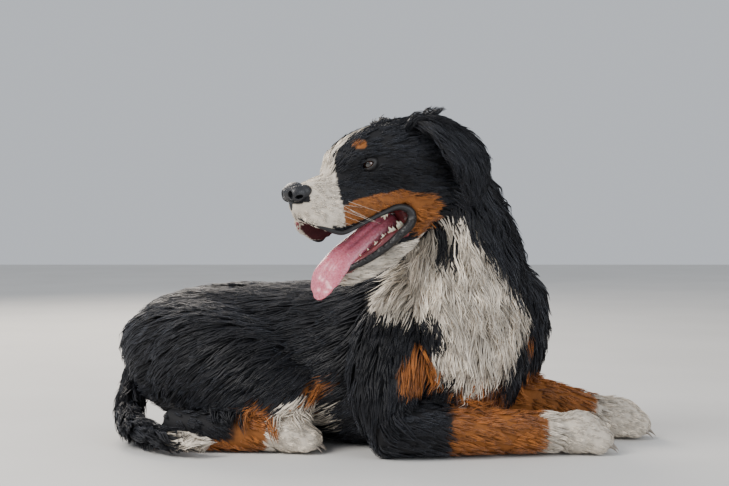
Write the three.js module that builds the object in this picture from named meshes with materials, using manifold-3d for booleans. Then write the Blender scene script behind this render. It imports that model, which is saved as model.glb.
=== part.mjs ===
// A life-size, still model of a Bernese mountain dog lying on its chest and looking back past its right side.
// Millimetres, +Z up. +X runs along the trunk to the forepaws and -Y is the dog's right at the trunk.
// The origin is on the floor, in the middle of the flat that the trunk rests on.
import * as THREE from "three";
import { mergeVertices } from "three/addons/utils/BufferGeometryUtils.js";
import Module from "manifold-3d";

const wasm = await Module();
wasm.setup();
const { Manifold, Mesh } = wasm;

// Driving dimensions
const GAP = 0.3; // between touching nodes
const CORE_FACES = { sides: 10, rings: 7 };
const HEAD_PLACE = [80, -155, 474]; // middle of the skull, between the ears
const HEAD_YAW = 28; // degrees that the face turns from -X towards -Y
const HEAD_PITCH = 12.5; // degrees that the nose is lowered
const EYE_RADIUS = 12;
const EYE = { forward: 100, aside: 36, up: 16, facing: 42 }; // facing: degrees from the nose towards the side
const PALETTE = {
  black: 0x16151a,
  rust: 0x8a4413,
  white: 0xe2dbd0,
  nose: 0x1b1a1d,
  tongue: 0xc9808c,
  mouth: 0x5a2a2e,
  eye: 0x1c0f08,
};

const deg = THREE.MathUtils.degToRad;
const vec = (x, y, z) => new THREE.Vector3(x, y, z);

// A seeded draw between two values, the same on every run.
let seed = 7;
function draw(low, high) {
  seed = (seed * 1664525 + 1013904223) % 4294967296;
  return low + ((high - low) * seed) / 4294967296;
}

// A closed geometry as a solid, whose shared corners are merged.
function solidOf(geometry) {
  const bare = new THREE.BufferGeometry().setAttribute("position", geometry.getAttribute("position"));
  bare.setIndex(geometry.index);
  const merged = mergeVertices(bare, 1e-3);
  const triVerts = new Uint32Array(merged.index.array);
  const vertProperties = merged.attributes.position.array;
  return new Manifold(new Mesh({ numProp: 3, vertProperties, triVerts }));
}

// A closed skin over rings of points. Each ring turns from its first axis to its second about the path.
function skinOver(rings, start, end) {
  const sides = rings[0].length;
  const points = [...rings.flat(), start, end];
  const faces = [];
  for (let j = 0; j < sides; j++) {
    const k = (j + 1) % sides;
    for (let i = 0; i + 1 < rings.length; i++) {
      const [a, b, c, d] = [i * sides + j, i * sides + k, (i + 1) * sides + k, (i + 1) * sides + j];
      faces.push(a, b, c, a, c, d);
    }
    const last = (rings.length - 1) * sides;
    faces.push(points.length - 2, k, j, points.length - 1, last + j, last + k);
  }
  const geometry = new THREE.BufferGeometry().setFromPoints(points).setIndex(faces);
  return solidOf(geometry);
}

// A body part as a tube with a bent axis. A station is [x, y, z, half width, half height].
// The width lies along the side direction, and bow bends the section about it, as in a cupped ear.
class Tube {
  constructor(stations, side, { bow = 0, sides = CORE_FACES.sides, rings = CORE_FACES.rings } = {}) {
    this.path = new THREE.CatmullRomCurve3(stations.map(([x, y, z]) => vec(x, y, z)), false, "catmullrom", 0.5);
    this.sizes = new THREE.CatmullRomCurve3(stations.map(([, , , w, h]) => vec(w, h, 0)), false, "catmullrom", 0.5);
    this.length = this.path.getLength();
    Object.assign(this, { side: vec(...side).normalize(), bow, sides, rings });
  }
  // The axis runs straight on past its ends.
  frame(t) {
    const inside = THREE.MathUtils.clamp(t, 0.001, 0.999);
    const along = this.path.getTangent(inside);
    const at = this.path.getPoint(inside).addScaledVector(along, (t - inside) * this.length);
    const across = this.side.clone().addScaledVector(along, -this.side.dot(along)).normalize();
    return { at, along, across, up: along.clone().cross(across), size: this.sizes.getPoint(inside) };
  }
  // The point at t along the axis and at an angle about it, from the side direction, raised off the surface.
  point(t, angle, raised = 0) {
    const { at, across, up, size } = this.frame(t);
    const [c, s] = [Math.cos(angle), Math.sin(angle)];
    at.addScaledVector(across, (size.x + raised) * c);
    return at.addScaledVector(up, (size.y + raised) * s + this.bow * size.x * c * c);
  }
  solid(grow = 0) {
    const rings = [];
    for (let i = 0; i <= this.rings; i++) {
      const t = i / this.rings;
      const turns = Array.from({ length: this.sides }, (_, j) => (j / this.sides) * 2 * Math.PI);
      rings.push(turns.map((angle) => this.point(t, angle, grow)));
    }
    const tip = (t, sign) => {
      const { at, along, up, size } = this.frame(t);
      return at.addScaledVector(along, sign * (0.25 * size.y + grow)).addScaledVector(up, this.bow * size.x * 0.5);
    };
    return skinOver(rings, tip(0, -1), tip(1, 1));
  }
}

// An ellipsoid, turned about Z by a heading and then about its own side axis by a pitch.
function ball([x, y, z], [rx, ry, rz], { heading = 0, pitch = 0, detail = 12, grow = 0 } = {}) {
  const shape = new THREE.SphereGeometry(1, detail, Math.round(detail * 0.7));
  shape.scale(rx + grow, ry + grow, rz + grow);
  shape.rotateY(deg(pitch)).rotateZ(deg(heading)).translate(x, y, z);
  return solidOf(shape);
}

// A flat, tapered lock that starts inside a surface, follows its lie and lifts off towards the tip.
const LOCK_STATIONS = [
  { s: 0, wide: 0.8, thick: 1.1 },
  { s: 0.45, wide: 1, thick: 1 },
  { s: 0.8, wide: 0.55, thick: 0.6 },
];
function lock(surface, { t, angle, run, turn, width, lift, sink, thick = 8, curl = 0 }, grow = 0) {
  const spot = (s) => {
    const height = -sink + (sink + lift) * Math.pow(Math.max(s, 0), 0.7);
    return surface.point(t + run * s, angle + turn * s + curl * Math.sin(s * Math.PI), height);
  };
  const rings = LOCK_STATIONS.map(({ s, wide, thick: share }) => {
    const here = spot(s);
    const along = spot(s + 0.05).sub(spot(s - 0.05)).normalize();
    const off = surface.point(t + run * s, angle + turn * s, 40).sub(surface.point(t + run * s, angle + turn * s, 0));
    const across = off.cross(along).normalize();
    const out = along.clone().cross(across).normalize();
    const half = 0.5 * width * wide + 10 * grow;
    const deep = 0.5 * thick * share + grow;
    return [
      here.clone().addScaledVector(across, half).addScaledVector(out, -deep),
      here.clone().addScaledVector(out, deep),
      here.clone().addScaledVector(across, -half).addScaledVector(out, -deep),
    ];
  });
  return skinOver(rings, spot(-0.02 - grow * 0.06), spot(1 + grow * 0.06));
}

// Rows of locks over a tube. lay(angle) gives how far a lock runs along the tube and turns about it.
function coat(surface, { rows, angles, lay, width, lift, sink, thick, curl = 0.08 }) {
  const plans = [];
  rows.forEach((t, row) => {
    const [from, to, count] = angles;
    for (let i = 0; i < count; i++) {
      const share = (i + (row % 2 ? 0.5 : 0)) / count;
      const angle = deg(from + (to - from) * share + draw(-3, 3));
      const { run, turn } = lay(angle, t);
      const size = draw(0.88, 1.12);
      plans.push({
        t: t + draw(-0.012, 0.012),
        angle,
        run: run * size,
        turn: turn * size,
        width: width * draw(0.88, 1.12),
        lift: lift * draw(0.85, 1.15),
        sink,
        thick,
        curl: draw(-curl, curl),
      });
    }
  });
  return (grow) => plans.map((plan) => lock(surface, plan, grow));
}

// Trunk: from the rump to the breast. The spine bends to the right at the front, where the dog looks back.
const UP_Y = [0, 1, 0];
const trunk = new Tube(
  [
    [-402, 97, 125, 38, 48],
    [-378, 90, 135, 84, 80],
    [-325, 74, 142, 116, 108],
    [-230, 50, 146, 122, 122],
    [-120, 23, 145, 122, 126],
    [-20, 0, 140, 128, 143],
    [70, -23, 154, 132, 156],
    [140, -52, 176, 132, 158],
    [190, -88, 198, 104, 128],
    [212, -118, 208, 55, 75],
  ],
  UP_Y,
  { sides: 16, rings: 13 },
);

// The ruff round the neck is one smooth form out to the tips of its hair.
const RUFF = 20;

// The trunk's coat is one smooth form out to the tips of its hair.
const TRUNK_COAT = 17;

// Breast: hangs from the throat to between the forelegs and faces forward and to the right.
const BREAST_SIDE = [0.77, 0.64, 0];
const breast = new Tube(
  [
    [135, -95, 350, 55, 40],
    [158, -108, 290, 90, 56],
    [176, -114, 225, 104, 66],
    [178, -112, 160, 96, 62],
    [165, -104, 105, 72, 50],
    [150, -94, 66, 36, 30],
  ],
  BREAST_SIDE,
  { sides: 12, rings: 7 },
);

// Neck: rises from the withers and breast to the back of the skull.
const neck = new Tube(
  [
    [112, -150, 462, 52, 54],
    [138, -140, 420, 66, 68],
    [156, -124, 365, 76, 80],
    [164, -100, 305, 92, 96],
    [160, -76, 245, 100, 104],
    [146, -58, 190, 60, 70],
  ],
  BREAST_SIDE,
  { sides: 14, rings: 9 },
);

// The trunk's rear half is even about this line, so the left hind leg mirrors the right one.
const REAR_AXIS = { at: [-230, 50], heading: deg(-14.5) };
function mirrored([x, y, z, ...sizes]) {
  const { at, heading } = REAR_AXIS;
  const line = vec(Math.cos(heading), Math.sin(heading), 0);
  const from = vec(x - at[0], y - at[1], 0);
  const turned = line.clone().multiplyScalar(2 * from.dot(line)).sub(from);
  return [at[0] + turned.x, at[1] + turned.y, z, ...sizes];
}

const THIGH = [
  [-338, 20, 166, 40, 66],
  [-285, -26, 148, 62, 90],
  [-205, -66, 122, 64, 88],
  [-140, -84, 96, 52, 66],
  [-96, -88, 76, 34, 44],
];
const SHANK = [
  [-326, -84, 42, 22, 30],
  [-280, -102, 36, 26, 32],
  [-205, -112, 32, 27, 30],
  [-150, -114, 30, 26, 28],
];
const thighs = {
  right: new Tube(THIGH, UP_Y),
  left: new Tube(THIGH.map(mirrored), UP_Y),
};
const shanks = {
  right: new Tube(SHANK, UP_Y, { sides: 10, rings: 4 }),
  left: new Tube(SHANK.map(mirrored), UP_Y, { sides: 10, rings: 4 }),
};

// Forelegs: the upper arm lies along the breast and the forearm lies forward on the floor.
const shoulders = {
  right: new Tube(
    [
      [70, -98, 262, 40, 26],
      [52, -132, 205, 62, 36],
      [36, -152, 140, 62, 40],
      [30, -164, 84, 50, 38],
      [36, -166, 44, 34, 32],
    ],
    [1, 0.1, 0],
    { sides: 12, rings: 7 },
  ),
  left: new Tube(
    [
      [222, -6, 300, 40, 30],
      [252, 22, 250, 56, 42],
      [262, 38, 195, 56, 44],
      [256, 48, 140, 52, 42],
      [240, 50, 92, 44, 38],
      [226, 48, 54, 34, 32],
    ],
    [1, -0.3, 0],
    { sides: 12, rings: 7 },
  ),
};
const FOREARM_SIZES = [
  [34, 36],
  [38, 42],
  [36, 38],
  [33, 35],
  [32, 33],
];
const forearmPath = {
  right: [
    [22, -168, 42],
    [70, -168, 46],
    [150, -158, 42],
    [240, -142, 39],
    [312, -130, 36],
  ],
  left: [
    [206, 46, 50],
    [248, 42, 58],
    [305, 36, 62],
    [362, 32, 50],
    [412, 29, 38],
  ],
};
const forearm = (side) =>
  new Tube(
    forearmPath[side].map((at, i) => [...at, ...FOREARM_SIZES[i]]),
    UP_Y,
    { sides: 10, rings: 6 },
  );
const forearms = { right: forearm("right"), left: forearm("left") };

// Tail: wraps the right thigh on the floor, in two lengths.
const TAIL = [
  [-390, 112, 132, 20, 22],
  [-406, 74, 82, 19, 20],
  [-405, 14, 46, 18, 18],
  [-390, -50, 34, 17, 17],
  [-352, -110, 31, 15, 15],
  [-304, -150, 28, 12, 12],
  [-258, -166, 25, 7, 7],
];
const TAIL_SPLIT = 3; // the station where the second length starts
const tailRoot = new Tube(TAIL.slice(0, TAIL_SPLIT + 1), [0, 0, 1], { sides: 7, rings: 5 });
const tailEnd = new Tube(TAIL.slice(TAIL_SPLIT), [0, 0, 1], { sides: 7, rings: 5 });

// A paw: the foot, four toes and their claws, all along +X before it is turned to its heading.
const TOES = [-26, -9, 9, 26];
function paw([x, y], heading, scale, grow) {
  const put = (at) => at.map((value) => value * scale);
  const parts = [ball(put([0, 0, 34]), put([44, 39, 37]), { detail: 8, grow })];
  for (const aside of TOES) {
    const reach = 34 - 0.013 * aside * aside;
    parts.push(ball(put([reach, aside, 25]), put([26, 14, 25]), { pitch: 10, detail: 6, grow }));
    const claw = new THREE.ConeGeometry(4 * scale + grow, 20 * scale, 3);
    claw.rotateZ(deg(-118)).translate(...put([reach + 23, aside, 9]));
    parts.push(solidOf(claw));
  }
  return Manifold.union(parts).rotate([0, 0, heading]).translate([x, y, 0]);
}
const forepaws = {
  right: (grow) => paw([348, -122], 8, 1, grow),
  left: (grow) => paw([438, 26], -4, 1, grow),
};
const hindAt = mirrored([-118, -114, 0]);
const hindpaws = {
  right: (grow) => paw([-118, -114], 0, 0.86, grow),
  left: (grow) => paw([hindAt[0], hindAt[1]], -29, 0.86, grow),
};

// The head's own frame: +X towards the nose, +Y to its left and +Z up.
const yaw = deg(HEAD_YAW);
const pitch = deg(HEAD_PITCH);
const faceAlong = vec(-Math.cos(yaw) * Math.cos(pitch), -Math.sin(yaw) * Math.cos(pitch), -Math.sin(pitch));
const faceLeft = vec(Math.sin(yaw), -Math.cos(yaw), 0);
const faceUp = faceAlong.clone().cross(faceLeft);
const headFrame = new THREE.Matrix4().makeBasis(faceAlong, faceLeft, faceUp).setPosition(...HEAD_PLACE);
const onHead = (solid) => solid.transform(headFrame.elements);
const HEAD_SIDE = [0, 1, 0];
const BOTH = [1, -1];

const skull = new Tube(
  [
    [-92, 0, 2, 24, 26],
    [-78, 0, 3, 48, 46],
    [-40, 0, 5, 67, 64],
    [10, 0, 6, 74, 67],
    [56, 0, 8, 69, 65],
    [90, 0, 8, 54, 61],
    [118, 0, 3, 42, 55],
    [136, 0, -5, 35, 44],
    [148, 0, -13, 29, 28],
  ],
  HEAD_SIDE,
  { sides: 14, rings: 11 },
);
const muzzle = new Tube(
  [
    [80, 0, -30, 48, 40],
    [118, 0, -27, 42, 42],
    [155, 0, -27, 36, 42],
    [190, 0, -24, 32, 37],
    [212, 0, -18, 26, 29],
    [224, 0, -14, 16, 18],
  ],
  HEAD_SIDE,
  { sides: 12, rings: 6 },
);
const cheek = (way) =>
  new Tube(
    [
      [-42, way * 42, -30, 14, 26],
      [-8, way * 50, -44, 19, 42],
      [25, way * 51, -52, 18, 42],
      [50, way * 49, -58, 12, 34],
    ],
    HEAD_SIDE,
    { sides: 10, rings: 5 },
  );
const flew = (way) =>
  new Tube(
    [
      [58, way * 48, -46, 7, 13],
      [97, way * 44, -45, 8, 18],
      [124, way * 40, -47, 9, 22],
      [150, way * 36, -50, 9.5, 25],
      [174, way * 31, -52, 9.5, 27],
      [198, way * 24, -44, 9, 21],
      [215, way * 13, -36, 7, 13],
    ],
    HEAD_SIDE,
    { sides: 7, rings: 6 },
  );
const mouthRoom = new Tube(
  [
    [34, 0, -80, 30, 24],
    [75, 0, -82, 33, 30],
    [120, 0, -80, 30, 28],
    [170, 0, -78, 23, 26],
    [200, 0, -70, 15, 17],
  ],
  HEAD_SIDE,
  { sides: 10, rings: 5 },
);

// An ear: a hanging flap, cupped towards the skull. Its first side lies along the skull and its tip hangs low.
const ear = (way) =>
  new Tube(
    [
      [14, way * 54, 62, 20, 8],
      [-6, way * 70, 54, 34, 8],
      [-30, way * 84, 28, 43, 7],
      [-48, way * 91, -4, 43, 6.5],
      [-50, way * 93, -38, 30, 5.5],
      [-38, way * 91, -70, 10, 4],
    ],
    [1, way * 0.25, 0.3],
    { bow: way * 0.16, sides: 10, rings: 7 },
  );

// Lids: a narrow, slanted rim round each eye, and the parted lids in front of the eyeball.
const outward = (way) => vec(Math.cos(deg(EYE.facing)), way * Math.sin(deg(EYE.facing)), 0);
const eyeAt = (way, out = 0) => vec(EYE.forward, way * EYE.aside, EYE.up).addScaledVector(outward(way), out);
function lids(way, grow) {
  const rim = new THREE.TorusGeometry(EYE_RADIUS, 4 + grow, 5, 12);
  rim.scale(0.72, 1.14, 1).rotateY(deg(90)).rotateX(deg(way * 12)).rotateZ(deg(way * EYE.facing));
  rim.translate(...eyeAt(way, 7));
  return solidOf(rim);
}
const eyeball = (way, grow) => ball(eyeAt(way).toArray(), [EYE_RADIUS, EYE_RADIUS, EYE_RADIUS], { detail: 10, grow });
const eyeOpening = (way) => ball(eyeAt(way, 16).toArray(), [14, 11, 6.4], { heading: way * EYE.facing, detail: 10 });

function headCore(grow) {
  const parts = [skull.solid(grow), muzzle.solid(grow)];
  for (const way of BOTH) {
    parts.push(cheek(way).solid(grow), flew(way).solid(grow));
    parts.push(ball([99, way * 30, 41], [25, 18, 15], { heading: way * 28, detail: 8, grow }));
    parts.push(lids(way, grow));
  }
  const openings = [mouthRoom.solid(-grow), ...BOTH.map(eyeOpening)];
  return onHead(Manifold.union(parts).subtract(Manifold.union(openings)));
}

// Nose leather: a rounded pad with two nostrils that open forward and aside.
function nosePad(grow) {
  const pad = Manifold.union([
    ball([219, 0, -4], [15.5, 22, 16], { detail: 12, grow }),
    ball([218, 0, -22], [12.5, 12, 14], { detail: 8, grow }),
  ]);
  if (grow) return onHead(pad);
  const holes = BOTH.map((way) => ball([233, way * 13, -5], [11, 5.5, 6], { heading: way * 38, detail: 6 }));
  return onHead(pad.subtract(Manifold.union(holes)));
}

// Lower jaw: hangs open, with a trough for the tongue, drooping lips, and the teeth that show.
const jawTube = new Tube(
  [
    [8, 0, -70, 40, 26],
    [40, 0, -93, 48, 26],
    [67, 0, -112, 48, 25],
    [95, 0, -126, 44, 24],
    [119, 0, -135, 38, 21],
    [145, 0, -142, 30, 18],
    [168, 0, -148, 21, 15],
    [182, 0, -153, 12, 10],
  ],
  HEAD_SIDE,
  { sides: 12, rings: 8 },
);
const lowerLip = (way) =>
  new Tube(
    [
      [58, way * 52, -92, 5, 8],
      [81, way * 49, -106, 6, 8],
      [101, way * 44, -118, 6, 7],
      [132, way * 36, -131, 6, 7],
      [160, way * 24, -139, 5, 6],
      [179, way * 10, -148, 4, 5],
    ],
    HEAD_SIDE,
    { sides: 6, rings: 5 },
  );
const trough = new Tube(
  [
    [20, 0, -60, 34, 20],
    [67, 0, -86, 34, 22],
    [95, 0, -100, 30, 20],
    [119, 0, -110, 25, 17],
    [145, 0, -118, 19, 15],
    [190, 0, -132, 17, 15],
  ],
  HEAD_SIDE,
  { sides: 10, rings: 6 },
);
const TOOTH_LEAN = 27; // degrees, forward
const TOOTH_ROW = [
  { forward: 91, aside: 39, up: -83, long: 9, height: 24 },
  { forward: 103, aside: 37, up: -91, long: 8, height: 22 },
  { forward: 115, aside: 34, up: -100, long: 6, height: 18 },
  { forward: 129, aside: 30, up: -108, long: 5, height: 16 },
  { forward: 142, aside: 26, up: -114, long: 4.5, height: 14 },
  { forward: 163, aside: 17, up: -115, long: 5, height: 28 },
];
function teeth(way) {
  return TOOTH_ROW.map(({ forward, aside, up, long, height }) => {
    const cone = new THREE.ConeGeometry(long, height, 5);
    cone.scale(1, 1, 0.6).rotateX(deg(90)).translate(0, 0, -height / 2).rotateY(deg(TOOTH_LEAN));
    return solidOf(cone.translate(forward, way * aside, up));
  });
}
function jawCore(grow) {
  const parts = [jawTube.solid(grow), ...BOTH.map((way) => lowerLip(way).solid(grow))];
  const body = Manifold.union(parts).subtract(trough.solid(-grow));
  return onHead(grow ? body : Manifold.union([body, ...BOTH.flatMap(teeth)]));
}

// Tongue: lies in the trough, then lolls out over the lip with its left edge turned down.
const tongue = new Tube(
  [
    [60, 0, -76, 17, 9],
    [99, 4, -89, 21, 9],
    [130, 7, -101, 21, 8],
    [160, 10, -113, 22, 7],
    [184, 13, -127, 24, 6],
    [204, 16, -144, 25, 5],
    [213, 17, -160, 19, 4.5],
  ],
  [0, 0.76, -0.65],
  { bow: -0.12, sides: 12, rings: 11 },
);

// The coat: each region's locks lie along the hair, backward and down on the trunk, and down on the rest.
// Angles are degrees about each tube, from its side direction.
const breastCoat = coat(breast, {
  rows: [0.3, 0.56],
  angles: [165, 375, 7],
  lay: () => ({ run: 0.34, turn: 0 }),
  width: 50,
  lift: 18,
  sink: 13,
  curl: 0.14,
});
const thighCoat = (side) =>
  coat(thighs[side], {
    rows: [0.34, 0.66],
    angles: side === "right" ? [98, 240, 3] : [82, -60, 3],
    lay: (angle) => ({ run: -0.28, turn: (side === "right" ? 0.5 : -0.5) * Math.abs(Math.sin(angle)) }),
    width: 92,
    lift: 14,
    sink: 13,
  });
const shoulderCoat = (side) =>
  coat(shoulders[side], {
    rows: [0.16, 0.5],
    angles: side === "right" ? [190, 350, 2] : [10, 170, 2],
    lay: () => ({ run: 0.42, turn: 0 }),
    width: 80,
    lift: 14,
    sink: 12,
  });
const tailCoat = (length) =>
  coat(length, {
    rows: [0.22, 0.66],
    angles: [0, 360, 3],
    lay: () => ({ run: 0.5, turn: 0 }),
    width: 44,
    lift: 20,
    sink: 8,
  });
const earFringe = (way) => {
  const fringe = coat(ear(way), {
    rows: [0.38, 0.68],
    angles: way > 0 ? [95, 205, 2] : [265, 155, 2],
    lay: () => ({ run: 0.3, turn: 0 }),
    width: 24,
    lift: 7,
    sink: 3,
    thick: 4,
  });
  return (grow) => fringe(grow).map(onHead);
};
const beardPlans = coat(jawTube, {
  rows: [0.12, 0.42],
  angles: [235, 305, 2],
  lay: () => ({ run: -0.1, turn: 0 }),
  width: 34,
  lift: 28,
  sink: 8,
});
const beard = (grow) => beardPlans(grow).map(onHead);

// Every node. A core makes room for those before it, and locks for those of a lower layer.
const nodes = [
  { name: "eye_left", colour: "eye", core: (grow) => onHead(eyeball(1, grow)), onHead: true },
  { name: "eye_right", colour: "eye", core: (grow) => onHead(eyeball(-1, grow)), onHead: true },
  { name: "nose", colour: "nose", core: nosePad, onHead: true },
  { name: "head", colour: "black", core: headCore, onHead: true },
  { name: "tongue", colour: "tongue", core: (grow) => onHead(tongue.solid(grow)), onHead: true },
  { name: "lower_jaw", colour: "mouth", core: jawCore, locks: beard, layer: 1, onHead: true },
];
for (const [side, way] of [["left", 1], ["right", -1]]) {
  const flap = (grow) => onHead(ear(way).solid(grow));
  nodes.push({ name: `ear_${side}`, colour: "black", core: flap, locks: earFringe(way), layer: 0, onHead: true });
}
nodes.push(
  { name: "trunk", colour: "black", core: (grow) => trunk.solid(grow + TRUNK_COAT) },
  { name: "neck", colour: "black", core: (grow) => neck.solid(grow + RUFF) },
  { name: "breast", colour: "white", core: (grow) => breast.solid(grow), locks: breastCoat, layer: 3 },
);
for (const side of ["right", "left"]) {
  const tube = (tubes) => (grow) => tubes[side].solid(grow);
  nodes.push(
    { name: `shoulder_${side}`, colour: "black", core: tube(shoulders), locks: shoulderCoat(side), layer: 5 },
    { name: `forearm_${side}`, colour: "rust", core: tube(forearms) },
    { name: `forepaw_${side}`, colour: "white", core: forepaws[side] },
    { name: `thigh_${side}`, colour: "black", core: tube(thighs), locks: thighCoat(side), layer: 6 },
    { name: `shank_${side}`, colour: "rust", core: tube(shanks) },
    { name: `hindpaw_${side}`, colour: "white", core: hindpaws[side] },
  );
}
nodes.push(
  { name: "tail_root", colour: "black", core: (grow) => tailRoot.solid(grow), locks: tailCoat(tailRoot), layer: 7 },
  { name: "tail_end", colour: "black", core: (grow) => tailEnd.solid(grow), locks: tailCoat(tailEnd), layer: 7 },
);

// Cuts the room of the other nodes out of each one, trims it level with the floor and keeps its largest body.
const floor = solidOf(new THREE.BoxGeometry(3000, 3000, 400).translate(0, 0, -200));
const largest = (solid) => solid.decompose().reduce((best, one) => (one.volume() > best.volume() ? one : best));
for (const node of nodes) {
  node.room = node.core(GAP);
  node.lockRoom = node.locks ? Manifold.union(node.locks(GAP)) : null;
}
const group = new THREE.Group();
const headGroup = new THREE.Group();
headFrame.decompose(headGroup.position, headGroup.quaternion, headGroup.scale);
group.add(headGroup);
const headInverse = headFrame.clone().invert();

nodes.forEach((node, order) => {
  let core = node.core(0);
  for (const before of nodes.slice(0, order)) core = core.subtract(before.room);
  let solid = core;
  if (node.locks) {
    let locks = Manifold.union(node.locks(0));
    nodes.forEach((other, place) => {
      if (other === node) return;
      locks = locks.subtract(other.room);
      const above = other.layer < node.layer || (other.layer === node.layer && place < order);
      if (above) locks = locks.subtract(other.lockRoom);
    });
    solid = core.add(locks);
  }
  solid = largest(solid.subtract(floor));
  const { vertProperties, triVerts, numProp, numVert } = solid.getMesh();
  const places = new Float32Array(numVert * 3);
  for (let i = 0; i < numVert; i++) places.set(vertProperties.subarray(i * numProp, i * numProp + 3), i * 3);
  const geometry = new THREE.BufferGeometry().setAttribute("position", new THREE.BufferAttribute(places, 3));
  geometry.setIndex(new THREE.BufferAttribute(triVerts, 1));
  if (node.onHead) geometry.applyMatrix4(headInverse);
  geometry.computeVertexNormals();
  const material = new THREE.MeshStandardMaterial({ color: PALETTE[node.colour], roughness: 0.7, metalness: 0 });
  const mesh = new THREE.Mesh(geometry, material);
  mesh.name = node.name;
  (node.onHead ? headGroup : group).add(mesh);
});

export default group;
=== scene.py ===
"""A life-size still model of a Bernese mountain dog, lying and looking back past its right side.

Body measures are millimetres, as in the part's own frame, and become metres when a mesh is made.
"""

import math

import bpy
import bmesh
import numpy as np
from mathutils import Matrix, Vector
from mathutils.bvhtree import BVHTree
from mathutils.kdtree import KDTree


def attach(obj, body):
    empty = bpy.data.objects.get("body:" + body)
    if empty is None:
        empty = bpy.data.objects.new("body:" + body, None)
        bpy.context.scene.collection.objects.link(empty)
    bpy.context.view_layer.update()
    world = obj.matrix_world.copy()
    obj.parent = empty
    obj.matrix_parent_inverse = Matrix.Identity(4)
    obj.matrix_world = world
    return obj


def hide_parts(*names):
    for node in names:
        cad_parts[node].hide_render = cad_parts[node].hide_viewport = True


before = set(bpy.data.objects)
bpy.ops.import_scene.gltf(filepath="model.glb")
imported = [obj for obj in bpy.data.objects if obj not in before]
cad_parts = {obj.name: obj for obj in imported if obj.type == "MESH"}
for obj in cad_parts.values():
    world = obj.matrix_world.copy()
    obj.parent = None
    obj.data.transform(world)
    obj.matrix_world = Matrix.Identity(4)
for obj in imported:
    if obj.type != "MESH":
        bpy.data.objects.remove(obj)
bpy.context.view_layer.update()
MM = 0.001
RNG = np.random.default_rng(11)
BOTH = (1, -1)

# The cells that each modelled surface is built from, mm
SKIN_CELL, EAR_CELL, GUM_CELL, LIP_CELL, TOOTH_CELL, LID_CELL = 5.0, 2.4, 2.2, 1.4, 0.95, 0.9
NOSE_CELL_FIRST, NOSE_CELL_LAST = 1.1, 0.8
# Least heights over the floor: the skin's in metres, a hair's in mm
SKIN_LOW, HAIR_LOW = 0.0006, 1.2

# Head frame: x to the nose, y to the dog's left, z up, from between the ears.
HEAD_PLACE = np.array([80.0, -155.0, 474.0])
HEAD_YAW, HEAD_PITCH = math.radians(28), math.radians(12.5)
HEAD_X = np.array([
    -math.cos(HEAD_YAW) * math.cos(HEAD_PITCH),
    -math.sin(HEAD_YAW) * math.cos(HEAD_PITCH),
    -math.sin(HEAD_PITCH),
])
HEAD_Y = np.array([math.sin(HEAD_YAW), -math.cos(HEAD_YAW), 0.0])
HEAD_Z = np.cross(HEAD_X, HEAD_Y)
HEAD_AXES = np.array([HEAD_X, HEAD_Y, HEAD_Z])
EYE_RADIUS = 12.0
EYE_AT = np.array([98.0, 34.5, 16.0])
EYE_FACING = math.radians(42)

# Coat colours, linear
BLACK = np.array([0.0065, 0.0065, 0.0085])
RUST = np.array([0.34, 0.115, 0.022])
WHITE = np.array([0.80, 0.715, 0.60])


def from_head(points):
    return np.atleast_2d(points) @ HEAD_AXES + HEAD_PLACE


def to_head(points):
    return (np.atleast_2d(points) - HEAD_PLACE) @ HEAD_AXES.T


def unit(v):
    return v / np.maximum(np.linalg.norm(v, axis=-1, keepdims=True), 1e-9)


def dot(a, b):
    return np.einsum("ij,ij->i", a, b)


def turned(angle):
    """A turn about Z."""
    c, s = math.cos(angle), math.sin(angle)
    return np.array([[c, -s, 0], [s, c, 0], [0, 0, 1]])


def smooth(low, high, x):
    t = np.clip((x - low) / (high - low), 0, 1)
    return t * t * (3 - 2 * t)


def spot(near, far, *offsets):
    """1 within an ellipse and 0 beyond it, from offsets counted in its half widths."""
    return 1 - smooth(near, far, np.sqrt(sum(offset**2 for offset in offsets)))


def spline(rows, t):
    """Points at t (0 to 1) on a uniform Catmull-Rom curve through the rows."""
    rows = np.asarray(rows, float)
    rows = np.vstack([2 * rows[0] - rows[1], rows, 2 * rows[-1] - rows[-2]])
    spans = len(rows) - 3
    x = np.clip(np.asarray(t, float), 0, 1) * spans
    i = np.minimum(x.astype(int), spans - 1)
    f = (x - i)[:, None]
    a, b, c, d = rows[i], rows[i + 1], rows[i + 2], rows[i + 3]
    square, cube = 2 * a - 5 * b + 4 * c - d, 3 * b - a - 3 * c + d
    return 0.5 * (2 * b + (c - a) * f + square * f**2 + cube * f**3)


def around(sides):
    return np.arange(sides) / sides * 2 * math.pi


def quads(rings, sides):
    """Faces between rings of corners that follow each other."""
    faces = []
    for i in range(rings - 1):
        for j in range(sides):
            k = (j + 1) % sides
            faces.append((i * sides + j, i * sides + k, (i + 1) * sides + k, (i + 1) * sides + j))
    return faces


def flat_ends(rings, sides):
    return [tuple(reversed(range(sides))), tuple(range((rings - 1) * sides, rings * sides))]


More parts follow.
